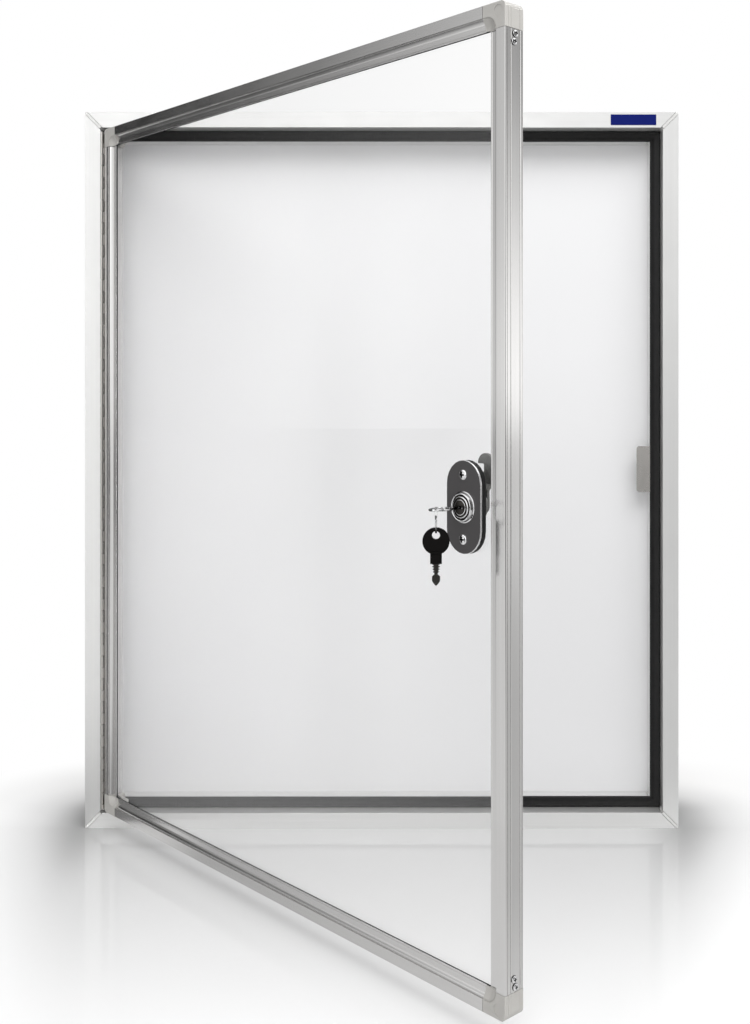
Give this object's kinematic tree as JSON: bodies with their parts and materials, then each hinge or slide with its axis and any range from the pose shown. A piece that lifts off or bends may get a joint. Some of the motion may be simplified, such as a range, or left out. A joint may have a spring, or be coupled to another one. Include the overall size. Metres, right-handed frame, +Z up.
{
  "type": "lockable notice board",
  "caption": "Wall-mounted lockable notice board: mitred aluminium case with a glazed door on a piano hinge, a cam lock, its key and a spare key on a ring.",
  "frame": {"origin": "centre of the wall face of the top profile", "axes": "+X to the viewer's right, +Y into the wall, +Z up"},
  "size_m": [0.58, 0.4363, 0.7],
  "materials": {
    "frame_aluminium": "satin anodised, pale silver",
    "connector_plastic": "moulded, light grey",
    "panel_steel": "smooth white enamel",
    "board_wood": "raw fibre board",
    "rubber": "black, matt",
    "steel": "plated, dull",
    "label_aluminium": "plain navy, satin",
    "door_aluminium": "brushed and anodised",
    "corner_plastic": "moulded, warm grey",
    "glass": "clear float glass",
    "chrome": "polished",
    "dark_metal": "dark grey, satin",
    "zinc": "cast zinc, grained",
    "black_plastic": "moulded, black"
  },
  "bodies": {
    "case": {"frame_left": "frame_aluminium", "frame_right": "frame_aluminium", "frame_top": "frame_aluminium", "frame_bottom": "frame_aluminium", "frame_corner_top_left": "connector_plastic", "frame_corner_top_right": "connector_plastic", "frame_corner_bottom_left": "connector_plastic", "frame_corner_bottom_right": "connector_plastic", "back_panel": "panel_steel", "backing_board": "board_wood", "gasket_left": "rubber", "gasket_right": "rubber", "gasket_top": "rubber", "gasket_bottom": "rubber", "hinge_leaf_case": "steel", "hinge_pin": "steel", "hinge_rivet_case_1": "steel", "hinge_rivet_case_2": "steel", "hinge_rivet_case_3": "steel", "hinge_rivet_case_4": "steel", "keeper": "steel", "keeper_screw_1": "steel", "keeper_screw_2": "steel", "label_plate": "label_aluminium"},
    "door": {"door_rail_top": "door_aluminium", "door_rail_bottom": "door_aluminium", "door_stile_hinge": "door_aluminium", "door_stile_lock": "door_aluminium", "door_corner_top_left": "corner_plastic", "door_corner_top_right": "corner_plastic", "door_corner_bottom_left": "corner_plastic", "door_corner_bottom_right": "corner_plastic", "door_glass": "glass", "glazing_seal": "rubber", "hinge_leaf_door": "steel", "hinge_rivet_door_1": "steel", "hinge_rivet_door_2": "steel", "hinge_rivet_door_3": "steel", "hinge_rivet_door_4": "steel", "door_corner_screw_1": "chrome", "door_corner_screw_2": "chrome", "door_corner_screw_3": "chrome", "door_corner_screw_4": "chrome", "lock_plate": "dark_metal", "lock_pad": "rubber", "lock_back_plate": "dark_metal", "lock_plate_screw_1": "dark_metal", "lock_plate_screw_2": "dark_metal", "lock_barrel": "chrome", "lock_nut": "steel"},
    "plug": {"lock_plug": "dark_metal", "lock_cam": "zinc", "cam_screw": "steel"},
    "key": {"key_in_lock": "steel"},
    "ring": {"key_ring": "steel"},
    "spare": {"spare_key_blade": "steel", "spare_key_bow": "black_plastic"}
  },
  "joints": [
    {"name": "door_hinge", "type": "hinge", "parent": "case", "child": "door", "pos_m": [-0.2723, -0.0482, -0.3371], "axis": [0, 0, -1], "range_deg": [-45.07, 124.93]},
    {"name": "plug_turn", "type": "hinge", "parent": "door", "child": "plug", "pos_m": [0.08534, -0.4053, -0.3371], "axis": [0.708, 0.7062, 0], "range_deg": [0, 90]},
    {"name": "key_slide", "type": "slide", "parent": "plug", "child": "key", "axis": [-0.708, -0.7062, 0], "range_m": [0, 0.03]},
    {"name": "ring_swing", "type": "hinge", "parent": "key", "child": "ring", "pos_m": [0.0674, -0.42762, -0.3371], "axis": [1, 0, 0], "range_deg": [-30, 30]},
    {"name": "spare_swing", "type": "hinge", "parent": "ring", "child": "spare", "pos_m": [0.0674, -0.42762, -0.35135], "axis": [0, 1, 0], "range_deg": [-30, 30]}
  ]
}
